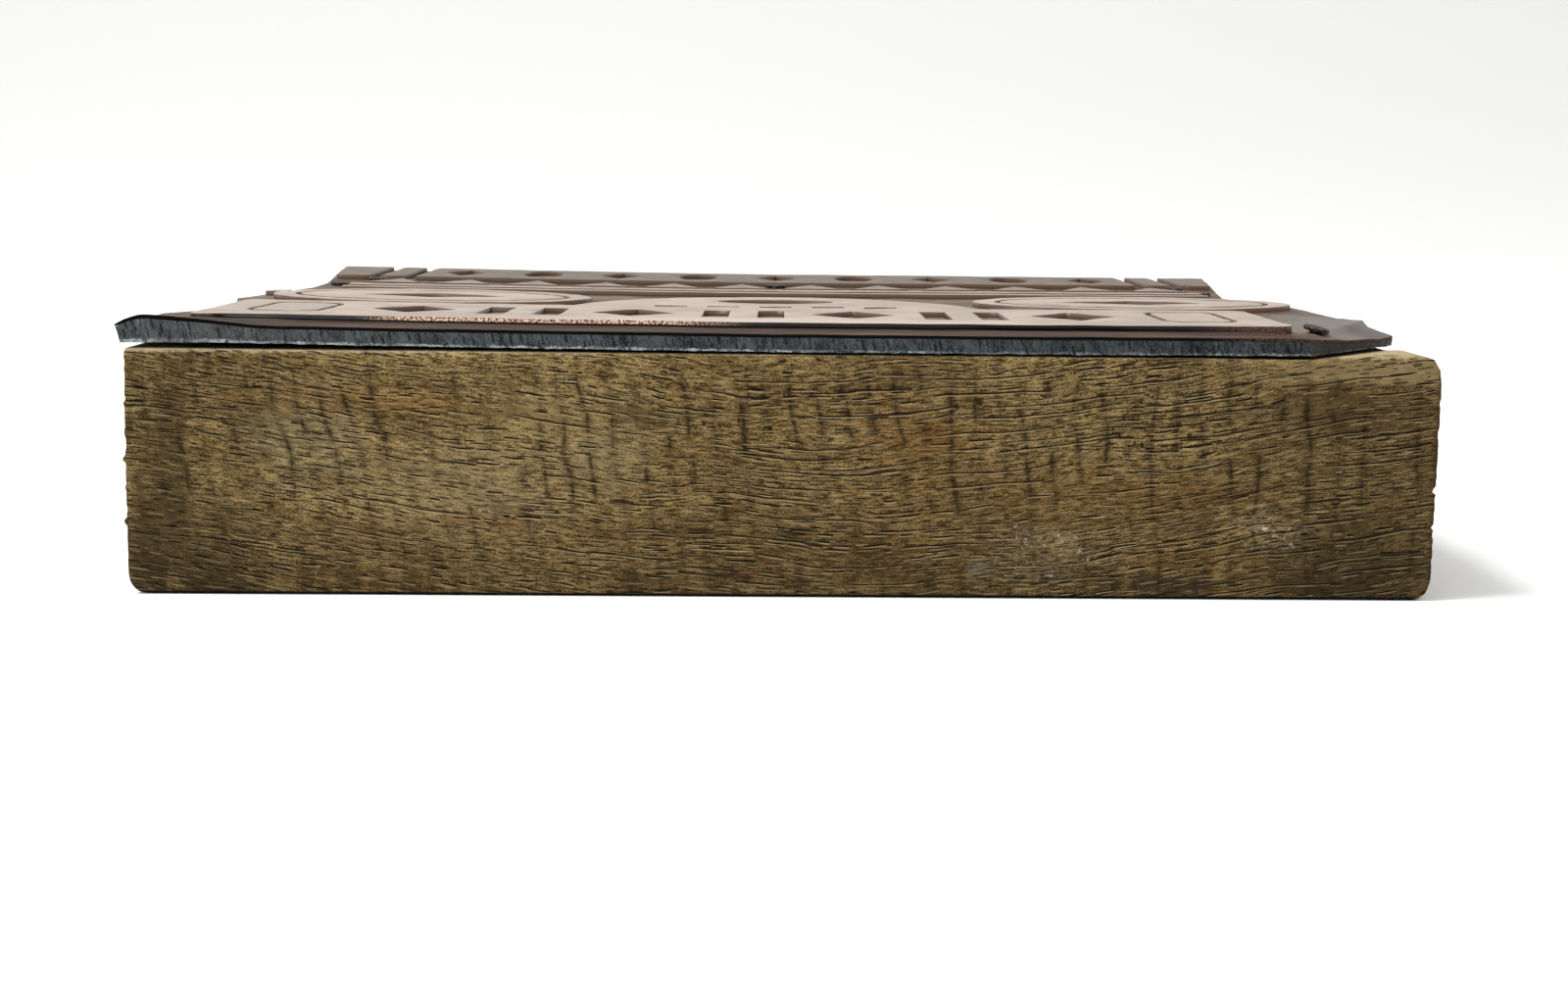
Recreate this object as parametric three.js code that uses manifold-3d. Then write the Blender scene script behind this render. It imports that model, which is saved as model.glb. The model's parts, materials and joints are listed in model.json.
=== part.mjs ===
// A letterpress printing block: a copper shell with a raised printing face, backed with cast lead alloy and nailed
// to a hardwood block, so that the face stands at type height above the press bed.
// Millimetres. X runs left to right, Y runs front to back and Z points up. The origin is the middle of the bed face.
import * as THREE from "three";
import { mergeVertices } from "three/addons/utils/BufferGeometryUtils.js";
import Module from "manifold-3d";

const wasm = await Module();
wasm.setup();

// Driving dimensions of the wood block
const woodWidth = 113.4;
const woodDepth = 90;
const woodHeight = 21.1;
const leftFootRound = 1.5;
const rightFootRound = 0.9;
const topLeftRound = 0.25;
const shoulderWidth = 1.8;
const shoulderDrop = 2.6;
const leftLean = 0.35;
const topFall = 0.2;
const topFallWidth = 48;
const edgeRound = 0.5;

// Driving dimensions of the plate: lead backing, copper shell and the film of solder between them
const plateOverhang = 0.5;
const plateRightMargin = 0.9;
const plateSetback = 0.2;
const plateBackMargin = 0.8;
const plateSeatGap = 0.22;
const leadThickness = 1.2;
const solderFilm = 0.04;
const copperThickness = 0.25;
const reliefHeight = 0.51;
const cornerCutWidth = 10.3;
const cornerCutDepth = 11.8;
const backSkew = 1.4;

// How far the plate's sides are trimmed in behind their straight front part, each with its place as a share of the depth
const leftTrim = [[0, 0.16], [2.2, 0.2], [2.6, 0.335], [1, 0.41], [2.2, 0.465], [3.6, 0.56], [4.7, 0.615], [4.6, 0.705]];
const rightTrim = [[0.2, 0.21], [1.5, 0.28], [1.7, 0.4], [2.2, 0.48], [5.2, 0.565], [6.2, 0.625], [5.2, 0.705]];
const leftBackTrim = 0.8;
const rightBackTrim = 1.4;

// How the old plate has lifted off the wood at its left and back, swollen at one corner and sunk at another
const bowHeight = 0.6;
const bowLength = 55;
const bowPower = 1.3;
const backLiftLeft = 0.62;
const backLiftRight = 0.28;
const backLiftLength = 60;
const swellHeight = 0.62;
const swellRadius = 9;
const swellInset = 3;
const dipDepth = 0.8;
const dipRadius = 11;
const dipInset = 2;

// Driving dimensions of the nails
const nailShankDiameter = 1.2;
const nailHeadDiameter = 2.3;
const nailHeadThickness = 0.36;
const nailHeadChamfer = 0.12;
const nailLength = 13;
const nailTipLength = 2;
const nailClearance = 0.04;
const nailSeatGap = 0.02;
const nailEdge = 2.2;
const bandNailMargin = 9.4;

// Driving dimensions of the raised design
const plaqueLeftMargin = 4.2;
const plaqueRightMargin = 10.2;
const plaqueFrontMargin = 6.8;
const plaqueDepth = 21.5;
const plaqueRound = 1.2;
const friezeMargin = 6;
const friezeDepth = 10.5;
const friezeGap = 2.4;
const friezeCount = 7;
const barWidth = 2.5;
const panelWidth = 7;
const panelInset = 3.6;
const panelFrontMargin = 4.6;
const panelBackMargin = 3;
const panelRound = 2.4;
const grooveWidth = 0.6;
const archWidth = 40;
const archRise = 16;
const dentilWidth = 3.2;
const dentilDepth = 1.5;
const dentilPitch = 5.2;
const dentilCount = 5;
const archMotifWidth = 12;
const archMotifDepth = 5.6;
const ovalWidth = 33;
const ovalDepth = 20;
const ovalLeftMargin = 4.2;
const ovalRightMargin = 2.8;
const ovalGap = 0.8;
const ovalBorder = 2.2;
const ovalMotifWidth = 15;
const ovalMotifDepth = 5.4;
const stopMargin = 2.8;
const stopWidth = 2.1;
const stopDepth = 2.8;
const stopGap = 12.6;
const ruleMargin = 8.6;
const ruleGap = 1.9;
const thinRuleDepth = 1.4;
const thickRuleDepth = 2.6;
const toothRowGap = 2.4;
const toothWidth = 6.4;
const toothDepth = 7;
const toothCount = 12;
const bandMargin = 1.2;
const bandGap = 3.4;
const bandDepth = 18;
const bandRound = 0.9;
const endBlockWidth = 6.6;
const smallBlockWidth = 2.8;
const blockGap = 1.4;
const bandMotifWidth = 4.8;
const bandMotifDepth = 10;
const bandMotifCount = 9;
const landMargin = 0.6;

// Places that follow from the sizes above
const plateLeft = -woodWidth / 2 + leftLean - plateOverhang;
const plateRight = woodWidth / 2 - plateRightMargin;
const plateWidth = plateRight - plateLeft;
const plateMiddle = (plateLeft + plateRight) / 2;
const plateFront = -woodDepth / 2 + plateSetback;
const plateBack = woodDepth / 2 - plateBackMargin;
const plateDepth = plateBack - plateFront;
const leadBottom = woodHeight + plateSeatGap;
const leadTop = leadBottom + leadThickness;
const copperBottom = leadTop + solderFilm;
const copperFloor = copperBottom + copperThickness;
const printingFace = copperFloor + reliefHeight;

// How finely the curved surfaces are cut, and how far a cutting solid runs past what it cuts
const roundSteps = 3;
const bowSteps = 12;
const liftSteps = 6;
const floorStepsAcross = 20;
const floorStepsDeep = 14;
const curveSteps = 2;
const ovalSteps = 14;
const nailSides = 12;
const overrun = 4;

// Lift of the whole plate towards its left edge and its back edge, where it has come away from the wood
function lift(x, y) {
  const left = THREE.MathUtils.clamp((plateLeft + bowLength - x) / bowLength, 0, 1);
  const back = THREE.MathUtils.clamp((y - plateBack + backLiftLength) / backLiftLength, 0, 1);
  const backLift = THREE.MathUtils.lerp(backLiftRight, backLiftLeft, (plateRight - x) / plateWidth);
  return bowHeight * Math.pow(left, bowPower) + backLift * Math.pow(back, bowPower);
}

// A round hump that is 1 at its middle and falls smoothly to 0 at its radius
function hump(x, y, middleX, middleY, radius) {
  const share = Math.min(1, Math.hypot(x - middleX, y - middleY) / radius);
  return (1 - share * share) ** 2;
}

// Height of the low ground of the plate above or below its flat level
function ground(x, y) {
  const swell = swellHeight * hump(x, y, plateLeft + swellInset, plateFront, swellRadius);
  const dip = dipDepth * hump(x, y, plateRight - dipInset, plateFront + cornerCutDepth, dipRadius);
  return lift(x, y) + swell - dip;
}

// The back edge of the plate isn't square: it comes forward towards the right
function backEdge(x) {
  return plateBack - (backSkew * (x - plateLeft)) / plateWidth;
}

// Outline of the plate: its front right corner is cut off, and its sides are trimmed to follow the design
const leftSide = [
  ...leftTrim.map(([trim, share]) => [plateLeft + trim, plateFront + share * plateDepth]),
  [plateLeft + leftBackTrim, backEdge(plateLeft + leftBackTrim)],
];
const rightSide = [
  [plateRight, plateFront + cornerCutDepth],
  ...rightTrim.map(([trim, share]) => [plateRight - trim, plateFront + share * plateDepth]),
  [plateRight - rightBackTrim, backEdge(plateRight - rightBackTrim)],
];
function plateOutline() {
  return [
    [plateLeft, plateFront],
    [plateRight - cornerCutWidth, plateFront],
    ...rightSide,
    ...leftSide.toReversed(),
  ].map(([x, y]) => new THREE.Vector2(x, y));
}

// Where a side of the plate is at a place along its depth
function edgeAt(side, y) {
  const next = side.findIndex(([, along]) => along > y);
  const [startX, startY] = side[next - 1];
  const [endX, endY] = side[next];
  return THREE.MathUtils.mapLinear(y, startY, endY, startX, endX);
}

// A closed three.js geometry as a solid that can be joined and cut
function solidOf(geometry) {
  const bare = geometry.clone();
  bare.deleteAttribute("normal");
  bare.deleteAttribute("uv");
  const merged = mergeVertices(bare);
  const vertProperties = new Float32Array(merged.attributes.position.array);
  const triVerts = new Uint32Array(merged.index.array);
  return new wasm.Manifold(new wasm.Mesh({ numProp: 3, vertProperties, triVerts }));
}

// A solid as a three.js geometry with flat faces
function geometryOf(solid) {
  const mesh = solid.getMesh();
  const geometry = new THREE.BufferGeometry();
  geometry.setAttribute("position", new THREE.BufferAttribute(mesh.vertProperties, 3));
  geometry.setIndex(new THREE.BufferAttribute(mesh.triVerts, 1));
  const flat = geometry.toNonIndexed();
  flat.computeVertexNormals();
  return flat;
}

function joined(solids) {
  return solids.reduce((whole, next) => whole.add(next));
}

// An upright prism over an outline given as a list of points
function prism(points, low, high) {
  const geometry = new THREE.ExtrudeGeometry(new THREE.Shape(points), { depth: high - low, bevelEnabled: false });
  geometry.translate(0, 0, low);
  return solidOf(geometry);
}

// All that lies under a surface over the plate, given by its height as a function of x and y
function under(height, stepsAcross, stepsDeep) {
  const width = plateWidth + 2 * overrun;
  const depth = plateDepth + 2 * overrun;
  const box = new THREE.BoxGeometry(width, depth, woodHeight, stepsAcross, stepsDeep, 1);
  box.translate(plateMiddle, (plateFront + plateBack) / 2, woodHeight / 2);
  const place = box.attributes.position;
  for (let i = 0; i < place.count; i += 1) {
    if (place.getZ(i) > woodHeight / 2) {
      place.setZ(i, height(place.getX(i), place.getY(i)));
    }
  }
  return solidOf(box);
}

function underLifted(level) {
  return under((x, y) => level + lift(x, y), bowSteps, liftSteps);
}

function underGround(level) {
  return under((x, y) => level + ground(x, y), floorStepsAcross, floorStepsDeep);
}

// Outlines, each a list of points that runs round anticlockwise

function roundedBox(left, right, front, back, radius) {
  const shape = new THREE.Shape();
  shape.absarc(right - radius, front + radius, radius, -Math.PI / 2, 0);
  shape.absarc(right - radius, back - radius, radius, 0, Math.PI / 2);
  shape.absarc(left + radius, back - radius, radius, Math.PI / 2, Math.PI);
  shape.absarc(left + radius, front + radius, radius, Math.PI, Math.PI * 1.5);
  return tidy(shape.getPoints(curveSteps));
}

function plainBox(left, right, front, back) {
  const corners = [[left, front], [right, front], [right, back], [left, back]];
  return corners.map(([x, y]) => new THREE.Vector2(x, y));
}

function lozenge(x, y, width, depth) {
  const corners = [[0, -depth / 2], [width / 2, 0], [0, depth / 2], [-width / 2, 0]];
  return corners.map(([across, along]) => new THREE.Vector2(x + across, y + along));
}

function oval(x, y, width, depth) {
  const shape = new THREE.Shape().absellipse(x, y, width / 2, depth / 2, 0, Math.PI * 2);
  return tidy(shape.getPoints(ovalSteps));
}

// A triangle that stands on a line along X
function tooth(x, foot, width, depth) {
  const corners = [[-width / 2, 0], [width / 2, 0], [0, depth]];
  return corners.map(([across, along]) => new THREE.Vector2(x + across, foot + along));
}

// Drops points that repeat the one before them
function tidy(points) {
  const least = grooveWidth / 100;
  return points.filter((p, i) => p.distanceTo(points[(i + 1) % points.length]) > least);
}

// The outline moved inwards by a distance, or outwards if that is negative, with its corners kept sharp
function inset(points, distance) {
  return points.map((point, i) => {
    const before = points[(i + points.length - 1) % points.length];
    const after = points[(i + 1) % points.length];
    const arriving = new THREE.Vector2().subVectors(point, before).normalize();
    const leaving = new THREE.Vector2().subVectors(after, point).normalize();
    const turn = arriving.clone().add(leaving).normalize();
    const inward = new THREE.Vector2(-turn.y, turn.x);
    const stretch = Math.max(arriving.dot(turn), Number.EPSILON);
    return point.clone().addScaledVector(inward, distance / stretch);
  });
}

// Copies of an outline spaced evenly between two ends, the first and last one clear of them by half a step
function row(count, start, end, outlineAt) {
  const step = (end - start) / count;
  return Array.from({ length: count }, (_, i) => outlineAt(start + step * (i + 0.5), i));
}

// The raised design. Lands print, pits are sunk in them, and islands stand in the pits.
const lands = [];
const pits = [];
const islands = [];

// Long plaque along the front, with a frieze of lozenges and bars between two end panels
const plaqueLeft = plateLeft + plaqueLeftMargin;
const plaqueRight = plateRight - plaqueRightMargin;
const plaqueFront = plateFront + plaqueFrontMargin;
const plaqueBack = plaqueFront + plaqueDepth;
function addPlaque() {
  lands.push(roundedBox(plaqueLeft, plaqueRight, plaqueFront, plaqueBack, plaqueRound));
  const front = plaqueFront + friezeMargin;
  const back = front + friezeDepth;
  const panelFront = plaqueFront + panelFrontMargin;
  const panelBack = plaqueBack - panelBackMargin;
  for (const left of [plaqueLeft + panelInset, plaqueRight - panelInset - panelWidth]) {
    const panel = roundedBox(left, left + panelWidth, panelFront, panelBack, panelRound);
    pits.push(panel);
    islands.push(inset(panel, grooveWidth));
  }
  const start = plaqueLeft + panelInset + panelWidth + friezeGap;
  const end = plaqueRight - panelInset - panelWidth - friezeGap;
  const step = (end - start) / friezeCount;
  row(friezeCount, start, end, (x, i) => {
    if (i % 2 === 0) {
      pits.push(lozenge(x, (front + back) / 2, step - friezeGap, friezeDepth));
      return;
    }
    for (const side of [-1, 1]) {
      const middle = x + (side * step) / 4;
      pits.push(plainBox(middle - barWidth / 2, middle + barWidth / 2, front, back));
    }
  });
}

// Low arch that rises behind the plaque, with a row of dentils and a pointed motif
function addArch() {
  const radius = ((archWidth / 2) ** 2 + archRise ** 2) / (2 * archRise);
  const middleY = plaqueBack + archRise - radius;
  const foot = plaqueBack - plaqueRound;
  const half = Math.asin(archWidth / 2 / radius);
  const shape = new THREE.Shape();
  shape.moveTo(plateMiddle - archWidth / 2, foot);
  shape.lineTo(plateMiddle + archWidth / 2, foot);
  shape.absarc(plateMiddle, middleY, radius, Math.PI / 2 - half, Math.PI / 2 + half);
  lands.push(tidy(shape.getPoints(ovalSteps / 2)));
  const reach = (dentilCount * dentilPitch) / 2;
  row(dentilCount, plateMiddle - reach, plateMiddle + reach, (x) =>
    pits.push(plainBox(x - dentilWidth / 2, x + dentilWidth / 2, plaqueBack, plaqueBack + dentilDepth)),
  );
  const motifY = plaqueBack + (dentilDepth + archRise) / 2;
  pits.push(oval(plateMiddle, motifY, archMotifWidth, archMotifDepth));
}

// An oval at each side of the arch, with a border line and a lozenge, and a small stop at the far left
const leftOvalX = plateLeft + ovalLeftMargin + ovalWidth / 2;
const rightOvalX = plateRight - ovalRightMargin - ovalWidth / 2;
const ovalY = plaqueBack + ovalGap + ovalDepth / 2;
function addOvals() {
  const y = ovalY;
  for (const x of [leftOvalX, rightOvalX]) {
    lands.push(oval(x, y, ovalWidth, ovalDepth));
    const line = oval(x, y, ovalWidth - 2 * ovalBorder, ovalDepth - 2 * ovalBorder);
    pits.push(line);
    islands.push(inset(line, grooveWidth));
  }
  const stopLeft = plateLeft + stopMargin;
  const stopFront = plaqueBack + stopGap;
  lands.push(plainBox(stopLeft, stopLeft + stopWidth, stopFront, stopFront + stopDepth));
  return y + ovalDepth / 2;
}

// The lozenges inside the ovals are sunk in the islands, so they are cut after the islands are added
function ovalMotifs() {
  return [leftOvalX, rightOvalX].map((x) => lozenge(x, ovalY, ovalMotifWidth, ovalMotifDepth));
}

// A thin and a thick rule across the plate
function addRules(front) {
  const left = plateLeft + ruleMargin;
  const right = plateRight - ruleMargin;
  const thinFront = front + ruleGap;
  const thickFront = thinFront + thinRuleDepth + ruleGap;
  lands.push(plainBox(left, right, thinFront, thinFront + thinRuleDepth));
  lands.push(plainBox(left, right, thickFront, thickFront + thickRuleDepth));
  return thickFront + thickRuleDepth;
}

// A row of separate teeth
function addTeeth(front) {
  const foot = front + toothRowGap;
  row(toothCount, plateLeft + ruleMargin, plateRight - ruleMargin, (x) =>
    lands.push(tooth(x, foot, toothWidth, toothDepth)),
  );
  return foot + toothDepth;
}

// A broad band at the back: a long bar with sunk lozenges and discs, and two blocks at each end
function addBand(front) {
  const near = front + bandGap;
  const far = near + bandDepth;
  const y = (near + far) / 2;
  const left = plateLeft + bandMargin;
  const right = plateRight - bandMargin;
  const smallStart = endBlockWidth + blockGap;
  const barStart = smallStart + smallBlockWidth + blockGap;
  const spans = [[0, endBlockWidth], [smallStart, smallStart + smallBlockWidth]];
  for (const [from, to] of spans) {
    lands.push(roundedBox(left + from, left + to, near, far, bandRound));
    lands.push(roundedBox(right - to, right - from, near, far, bandRound));
  }
  lands.push(roundedBox(left + barStart, right - barStart, near, far, bandRound));
  row(bandMotifCount, left + barStart, right - barStart, (x, i) => {
    const motif = i % 2 === 0 ? lozenge : oval;
    pits.push(motif(x, y, bandMotifWidth, bandMotifDepth));
  });
  return far;
}

addPlaque();
addArch();
const ovalBack = addOvals();
const ruleBack = addRules(ovalBack);
const toothBack = addTeeth(ruleBack);
addBand(toothBack);

// The lands less their pits plus their islands, every wall drawn in by a distance, up to a level. They keep clear of
// the plate's edge.
function raised(distance, level) {
  const upright = (points, gap) => prism(inset(points, gap), woodHeight, printingFace + overrun);
  const whole = joined(lands.map((points) => upright(points, distance)));
  const pitted = whole.subtract(joined(pits.map((points) => upright(points, -distance))));
  const standing = pitted.add(joined(islands.map((points) => upright(points, distance))));
  const carved = standing.subtract(joined(ovalMotifs().map((points) => upright(points, -distance))));
  const trimmed = carved.intersect(upright(plateOutline(), landMargin + distance));
  return trimmed.intersect(underLifted(level));
}

// A nail, point down, as a profile that is turned about Z. A clearance makes it the hole for the nail.
function nailProfile(clearance, headTop) {
  const shank = nailShankDiameter / 2 + clearance;
  const head = nailHeadDiameter / 2 + clearance;
  return [
    [0, -nailLength - clearance],
    [shank, -nailLength + nailTipLength - clearance],
    [shank, -clearance],
    [head, -clearance],
    [head, headTop - nailHeadChamfer],
    [head - nailHeadChamfer, headTop],
    [0, headTop],
  ].map(([x, y]) => new THREE.Vector2(x, y));
}

function turned(profile) {
  const geometry = new THREE.LatheGeometry(profile, nailSides);
  geometry.rotateX(Math.PI / 2);
  return geometry;
}

// The nails go through the low ground: beside the plaque, in the valleys beside the arch, at the waist and between the
// teeth and the band
const valley = archWidth / 2 + nailHeadDiameter;
const waistY = ruleBack + toothRowGap;
const bandRow = toothBack + bandGap / 2;
const nailPlaces = [
  [plaqueRight + nailEdge, plaqueFront + nailHeadDiameter / 2],
  [edgeAt(leftSide, waistY) + nailEdge, waistY],
  [edgeAt(rightSide, waistY) - nailEdge, waistY],
  [plateMiddle - valley, plaqueBack + nailHeadDiameter],
  [plateMiddle + valley, plaqueBack + nailHeadDiameter],
  ...[-1, 0, 1].map((side) => [plateMiddle + side * (plateWidth / 2 - bandNailMargin), bandRow]),
];

// The nail's head rests on the highest copper beneath it
function nailSeat(x, y) {
  const reach = nailHeadDiameter / 2 + nailClearance;
  const round = [[0, 0], [reach, 0], [-reach, 0], [0, reach], [0, -reach]];
  const heights = round.map(([across, along]) => copperFloor + ground(x + across, y + along));
  return Math.max(...heights) + nailSeatGap;
}

const nailHoles = joined(
  nailPlaces.map(([x, y]) => {
    const headRoom = printingFace + overrun - nailSeat(x, y);
    const hole = turned(nailProfile(nailClearance, headRoom));
    hole.translate(x, y, nailSeat(x, y));
    return solidOf(hole);
  }),
);

// The wood as seen from the front: its left side leans out at the foot, and its top falls away to the right
function woodFront() {
  const left = -woodWidth / 2;
  const right = woodWidth / 2;
  const shoulder = right - shoulderWidth;
  const low = woodHeight - topFall;
  const shape = new THREE.Shape();
  shape.absarc(left + leftFootRound, leftFootRound, leftFootRound, Math.PI, Math.PI * 1.5);
  shape.absarc(right - rightFootRound, rightFootRound, rightFootRound, -Math.PI / 2, 0);
  shape.lineTo(right, woodHeight - shoulderDrop);
  shape.quadraticCurveTo(right, low, shoulder, low);
  shape.quadraticCurveTo(shoulder - topFallWidth / 2, woodHeight, shoulder - topFallWidth, woodHeight);
  const top = left + leftLean + topLeftRound;
  shape.absarc(top, woodHeight - topLeftRound, topLeftRound, Math.PI / 2, Math.PI);
  return tidy(shape.getPoints(roundSteps));
}

// The wood as seen from its right side, with its four long edges rounded
function woodSide() {
  return roundedBox(-woodDepth / 2, woodDepth / 2, 0, woodHeight, edgeRound);
}

// The two outlines run through each other, and what they share is the block
function woodSolid() {
  const along = new THREE.ExtrudeGeometry(new THREE.Shape(woodFront()), {
    depth: woodDepth + 2 * overrun,
    bevelEnabled: false,
  });
  along.rotateX(Math.PI / 2);
  along.translate(0, woodDepth / 2 + overrun, 0);
  const across = new THREE.ExtrudeGeometry(new THREE.Shape(woodSide()), {
    depth: woodWidth + 2 * overrun,
    bevelEnabled: false,
  });
  across.rotateX(Math.PI / 2);
  across.rotateZ(Math.PI / 2);
  across.translate(-woodWidth / 2 - overrun, 0, 0);
  return solidOf(along).intersect(solidOf(across)).subtract(nailHoles);
}

// The lead fills the plate up to the copper, and stands up inside each land as its core
function leadSolid() {
  const plate = prism(plateOutline(), woodHeight, printingFace + overrun).intersect(underGround(leadTop));
  const cores = raised(copperThickness + solderFilm, printingFace - copperThickness - solderFilm);
  return plate.add(cores).subtract(underLifted(leadBottom)).subtract(nailHoles);
}

// The copper is one thin skin over the low ground, up the walls and across the lands
function copperSolid() {
  const floor = prism(plateOutline(), woodHeight, printingFace + overrun).intersect(underGround(copperFloor));
  const outside = floor.add(raised(0, printingFace)).subtract(underGround(copperBottom));
  const hollow = raised(copperThickness, printingFace - copperThickness);
  return outside.subtract(hollow).subtract(nailHoles);
}

function part(name, geometry, color, roughness, metalness) {
  const material = new THREE.MeshStandardMaterial({ color, roughness, metalness });
  const mesh = new THREE.Mesh(geometry, material);
  mesh.name = name;
  return mesh;
}

const block = new THREE.Group();
block.add(part("wood_block", geometryOf(woodSolid()), 0x7d6440, 0.8, 0));
block.add(part("lead_backing", geometryOf(leadSolid()), 0x4a5158, 0.55, 0.8));
block.add(part("copper_shell", geometryOf(copperSolid()), 0xb58f7d, 0.4, 0.9));
nailPlaces.forEach(([x, y], i) => {
  const nail = part(`nail_${i + 1}`, turned(nailProfile(0, nailHeadThickness)), 0x3c352f, 0.6, 0.7);
  nail.position.set(x, y, nailSeat(x, y));
  block.add(nail);
});

export default block;
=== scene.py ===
# %% [markdown]
# # An old letterpress printing block
#
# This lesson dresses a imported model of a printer's block: a thin copper shell with a raised face, a backing of
# lead alloy, a handful of brads, and the hardwood that lifts it all to type height. Everything is in metres, in
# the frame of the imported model: X runs along the long side, Y from front to back and Z up from the press bed.

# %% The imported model
import json
import math

import bmesh
import bpy
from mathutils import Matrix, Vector, noise


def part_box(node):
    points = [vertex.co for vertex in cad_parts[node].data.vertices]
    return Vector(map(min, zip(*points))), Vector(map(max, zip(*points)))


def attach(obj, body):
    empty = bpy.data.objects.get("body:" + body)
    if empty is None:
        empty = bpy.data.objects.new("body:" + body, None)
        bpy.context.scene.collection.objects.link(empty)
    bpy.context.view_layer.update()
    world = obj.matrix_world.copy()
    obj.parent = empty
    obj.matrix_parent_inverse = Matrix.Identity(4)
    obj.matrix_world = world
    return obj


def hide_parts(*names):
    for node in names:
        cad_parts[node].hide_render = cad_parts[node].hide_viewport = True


MM = 0.001
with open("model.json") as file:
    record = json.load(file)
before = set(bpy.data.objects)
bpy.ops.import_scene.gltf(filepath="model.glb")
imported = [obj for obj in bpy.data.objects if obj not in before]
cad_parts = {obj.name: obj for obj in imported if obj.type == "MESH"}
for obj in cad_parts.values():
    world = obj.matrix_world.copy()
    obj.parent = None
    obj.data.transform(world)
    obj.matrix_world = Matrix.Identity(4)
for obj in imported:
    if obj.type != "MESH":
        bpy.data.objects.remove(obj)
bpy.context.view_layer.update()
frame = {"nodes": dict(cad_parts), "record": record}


def link(name, data):
    """Puts a mesh, camera or light in the scene under a name."""
    made = bpy.data.objects.new(name, data)
    bpy.context.scene.collection.objects.link(made)
    return made


print("nodes:", sorted(frame["nodes"]))


# %% [markdown]
# ## Sizes that the looks follow
#
# The pieces are read from the frame instead of being typed again, so a change of the model carries through. The
# plate's level at the right is its true level: towards the left the old plate has lifted off the wood.

# %% Sizes from the frame
wood_low, wood_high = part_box("wood_block")
lead_low, lead_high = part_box("lead_backing")
copper_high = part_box("copper_shell")[1]
FACE_LEVEL = frame["record"]["mounts"][1]["pos_m"][2]
COPPER_THICKNESS = 0.25 * MM
RELIEF = 0.51 * MM
BOW_LENGTH = 55 * MM
BOW_HEIGHT = 0.6 * MM
BOW_POWER = 1.3
BACK_LIFT_LEFT = 0.62 * MM
BACK_LIFT_RIGHT = 0.28 * MM
BACK_LIFT_LENGTH = 60 * MM
print("face level and top in mm:", round(FACE_LEVEL / MM, 3), round(copper_high.z / MM, 3))


def clamped(value):
    return min(1.0, max(0.0, value))


def lift(x, y):
    """How far the plate has come up from its true level: towards its left edge and its back edge."""
    left = clamped((lead_low.x + BOW_LENGTH - x) / BOW_LENGTH)
    back = clamped((y - lead_high.y + BACK_LIFT_LENGTH) / BACK_LIFT_LENGTH)
    share = (lead_high.x - x) / (lead_high.x - lead_low.x)
    height = BACK_LIFT_RIGHT + (BACK_LIFT_LEFT - BACK_LIFT_RIGHT) * share
    return BOW_HEIGHT * left**BOW_POWER + height * back**BOW_POWER


# %% [markdown]
# ## The camera
#
# The photograph was taken from just above the block with a short telephoto lens, close enough that the back of
# the plate is drawn much smaller than its front. The camera is turned by three angles: down, sideways and a
# slight roll.

# %% Camera
CAMERA_PLACE = Vector((-0.4, -219.7, 36.45)) * MM
CAMERA_DOWN = math.radians(8.945)
CAMERA_SIDE = math.radians(0.235)
CAMERA_ROLL = math.radians(0.372)
LENS_MM = 47.02
SENSOR_MM = 36

camera_data = bpy.data.cameras.new("camera")
camera_data.lens = LENS_MM
camera_data.sensor_width = SENSOR_MM
camera_data.clip_start = 1 * MM
camera = link("camera", camera_data)
camera.location = CAMERA_PLACE
ahead = Vector((math.sin(CAMERA_SIDE), math.cos(CAMERA_SIDE), -math.tan(CAMERA_DOWN)))
turned = ahead.to_track_quat("-Z", "Y").to_matrix().to_4x4()
camera.rotation_euler = (turned @ turned.Rotation(CAMERA_ROLL, 4, "Z")).to_euler()
bpy.context.scene.camera = camera
print("camera at", [round(v / MM, 1) for v in camera.location])


# %% [markdown]
# ## Shader helpers
#
# Every finish here is built from nodes. A value in a shader can be added, multiplied and so on with plain signs,
# and each sign adds the node that does that sum, so a recipe reads like the arithmetic it stands for.


# %% Values in a shader
class Value:
    """A number, vector or colour in a shader, on its way from one node to the next."""

    def __init__(self, socket):
        self.socket = socket
        self.tree = socket.id_data

    def step(self, operation, *others):
        """The result of a step of arithmetic with this value first."""
        kind = "ShaderNodeMath" if self.socket.type == "VALUE" else "ShaderNodeVectorMath"
        node = add(self.tree, kind, enumerate((self, *others)), operation=operation)
        return Value(node.outputs["Value" if operation in ("LENGTH", "DOT_PRODUCT") else 0])

    def __add__(self, other):
        return self.step("ADD", other)

    def __sub__(self, other):
        return self.step("SUBTRACT", other)

    def __rsub__(self, other):
        return self * -1.0 + other

    def __mul__(self, other):
        return self.step("MULTIPLY", other)

    def __truediv__(self, other):
        return self.step("DIVIDE", other)

    def __abs__(self):
        return self.step("ABSOLUTE")


def fill(node, inputs):
    """Fills a node's inputs, by name or number, with linked values or with plain ones."""
    for key, value in dict(inputs).items():
        if isinstance(value, Value):
            value.tree.links.new(value.socket, node.inputs[key])
        else:
            node.inputs[key].default_value = value


def add(tree, kind, inputs=(), **settings):
    """A new node of a kind, with its settings and its inputs."""
    node = tree.nodes.new(kind)
    for name, value in settings.items():
        setattr(node, name, value)
    fill(node, inputs)
    return node


# %% Node helpers
def split(vector):
    """The three numbers in a vector."""
    return [Value(part) for part in add(vector.tree, "ShaderNodeSeparateXYZ", {0: vector}).outputs]


def joined(x, y=0.0, z=0.0):
    """A vector made of numbers."""
    return Value(add(x.tree, "ShaderNodeCombineXYZ", enumerate((x, y, z))).outputs[0])


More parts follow.
